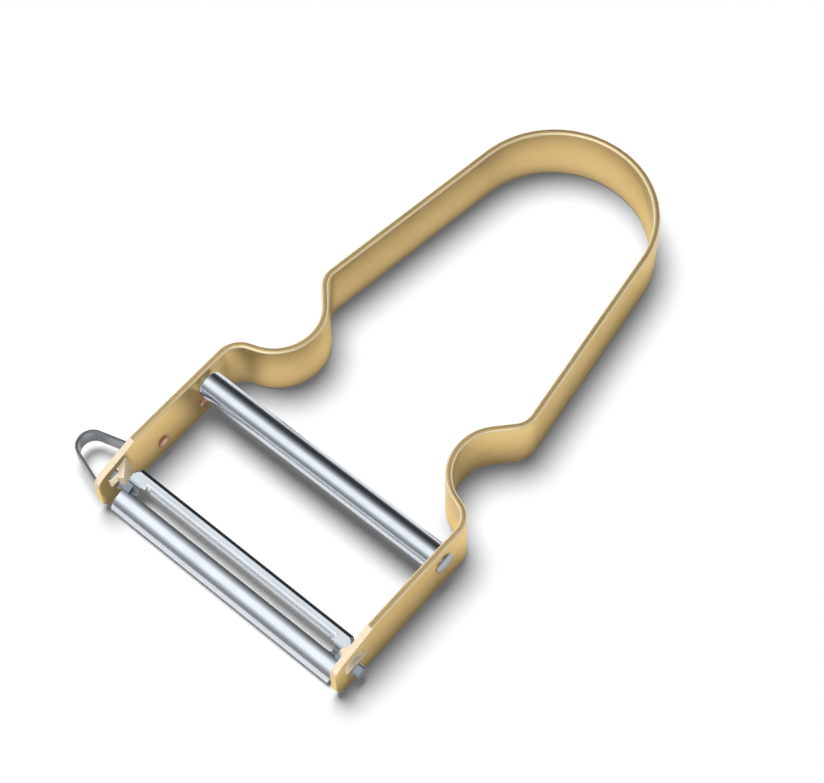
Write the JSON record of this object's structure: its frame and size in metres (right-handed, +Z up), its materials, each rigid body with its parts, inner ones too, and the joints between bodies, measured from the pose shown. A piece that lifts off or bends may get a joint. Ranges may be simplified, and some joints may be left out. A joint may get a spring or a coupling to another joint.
{
  "type": "vegetable peeler",
  "caption": "Horseshoe vegetable peeler: a bent metal strip handle, a slotted blade that swivels between its arm ends, a round cross bar and an eye-remover loop riveted to the left arm.",
  "frame": {"origin": "middle of the part's footprint, on the surface that the peeler lies on", "axes": "+Y from the blade to the round end of the handle, +X to the right arm, +Z up across the strip's width"},
  "size_m": [0.0682, 0.1132, 0.013],
  "materials": {
    "gold_strip": "gold anodised, satin",
    "polished_bar": "polished",
    "loop_steel": "plain rolled",
    "copper_rivet": "plain copper",
    "blade_steel": "ground and polished"
  },
  "bodies": {
    "handle": {"handle_strip": "gold_strip", "cross_bar": "polished_bar", "eye_remover": "loop_steel", "loop_rivet_front": "copper_rivet", "loop_rivet_rear": "copper_rivet"},
    "blade": {"swivel_blade": "blade_steel"}
  },
  "joints": [
    {"name": "blade_swivel", "type": "hinge", "parent": "handle", "child": "blade", "pos_m": [0.00455, -0.05149, 0.0036], "axis": [1, 0, 0], "range_deg": [-68, 8]}
  ]
}
